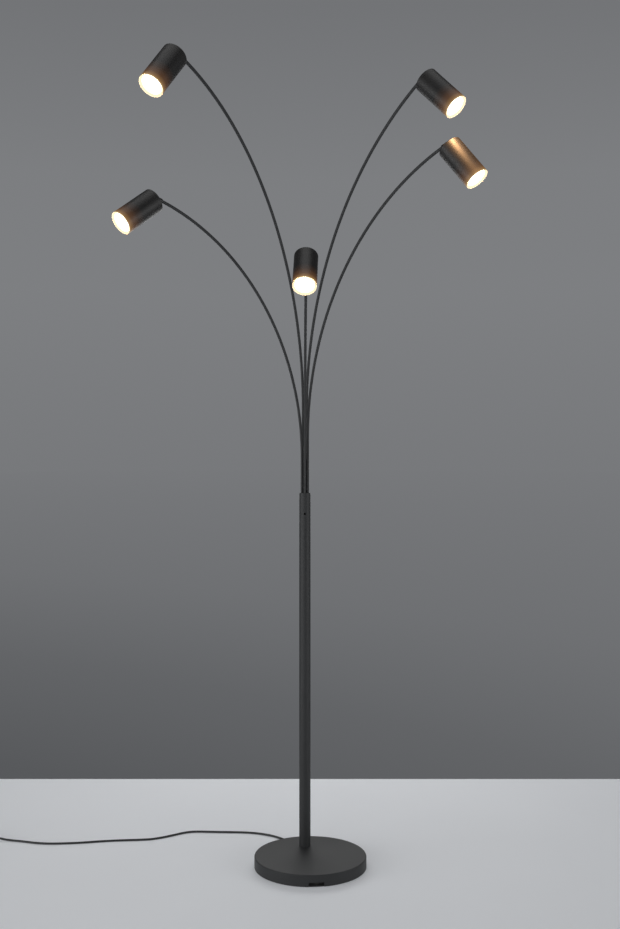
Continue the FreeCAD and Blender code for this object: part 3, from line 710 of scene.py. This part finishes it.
# ---- floor, backdrop and studio light ---------------------------------------------------
FLOOR_HALF = 40.0
FLOOR_BACK = 0.82           # where the pale floor ends
FLOOR_GLOW = 92             # grey level of the floor's own light
BACKDROP_BACK = 200.0
BACKDROP_SPREAD = 1.2       # nearness at which the backdrop's ramp ends
RIGHT_LIGHTER = 0.9         # how much lighter the backdrop gets towards the right
BACKDROP_GREYS = ((0.0, 121), (0.1, 118), (0.36, 112), (0.64, 100), (1.0, 89))
ROOM_GREYS = ((0.0, 121), (0.15, 127), (0.25, 126), (0.38, 116), (0.7, 100))
ROOM_LIGHT = 0.4            # the room's strength for all rays but the camera's, which see it at 1


def flat_piece(name, near, far, material):
    """A level rectangle at the floor's height, as wide as the room."""
    corners = [(-FLOOR_HALF, near), (FLOOR_HALF, near), (FLOOR_HALF, far), (-FLOOR_HALF, far)]
    data = bpy.data.meshes.new(name)
    data.from_pydata([(x, y, 0) for x, y in corners], [], [(0, 1, 2, 3)])
    data.materials.append(material)
    piece = bpy.data.objects.new(name, data)
    bpy.context.scene.collection.objects.link(piece)


def pale_floor():
    """Pale floor, faintly cloudy, with some light of its own."""
    finish = Finish("studio_floor", shown(226, 228, 231), 0.6, Specular_IOR_Level=0.2)
    finish.shade(finish.noise(1.6, 2.0), 0.97, 1.03)
    finish.glow((*cool(FLOOR_GLOW), 1.0))
    return finish


def grey_backdrop():
    """A grey that gets darker towards the pale floor's edge, more so on the left."""
    finish = Finish("studio_backdrop", (0.0, 0.0, 0.0), 1.0, Specular_IOR_Level=0.0)
    depth = finish.along((0, CAMERA_PLACE[1], 0), (0, 1, 0))
    rightness = finish.along((0, 0, 0), (1, 0, 0)) / depth
    nearness = (FLOOR_BACK - CAMERA_PLACE[1]) / depth * (1.0 - rightness * RIGHT_LIGHTER)
    finish.glow(finish.ramp(nearness / BACKDROP_SPREAD, cool_stops(BACKDROP_GREYS)))
    return finish


def grey_room():
    """The room round the lamp, lightest a little above eye level."""
    world = bpy.data.worlds.new("studio")
    tree = Tree(world)
    parts = tree.add("ShaderNodeTexCoord", output="Generated")
    height = tree.add("ShaderNodeSeparateXYZ", {0: parts}, output="Z")
    greys = tree.ramp(height, cool_stops(ROOM_GREYS))
    tree.put(tree.nodes["Background"].inputs["Color"], greys)
    seen = tree.add("ShaderNodeLightPath", output="Is Camera Ray")
    tree.put(tree.nodes["Background"].inputs["Strength"], seen * (1 - ROOM_LIGHT) + ROOM_LIGHT)
    bpy.context.scene.world = world


def softbox(name, place, target, size, watts):
    """A rectangular light that faces a target and that the camera doesn't see."""
    data = bpy.data.lights.new(name, "AREA")
    data.shape = "RECTANGLE"
    data.size, data.size_y = size
    data.energy = watts
    light = bpy.data.objects.new(name, data)
    light.location = place
    light.rotation_euler = (Vector(target) - Vector(place)).to_track_quat("-Z", "Y").to_euler()
    bpy.context.scene.collection.objects.link(light)
    light.visible_camera = False


flat_piece("studio_floor", -FLOOR_HALF, FLOOR_BACK, pale_floor().material)
flat_piece("studio_backdrop", FLOOR_BACK, BACKDROP_BACK, grey_backdrop().material)
grey_room()
softbox("front_softbox", (-1.4, -3.4, 1.4), (0, 0, 0.8), (1.6, 1.6), 22)
softbox("left_softbox", (-3.4, -1.6, 0.95), (0, 0, 1.7), (2.8, 1.6), 56)
softbox("right_softbox", (3.4, -1.6, 0.95), (0, 0, 1.7), (2.8, 1.6), 42)
softbox("top_softbox", (0.0, -0.4, 4.2), (0, 0, 0), (2.6, 2.6), 25)
softbox("back_softbox", (0.0, 1.7, 1.3), (0, 0, 0), (2.4, 0.8), 14)

bpy.context.scene.view_settings.view_transform = "Standard"
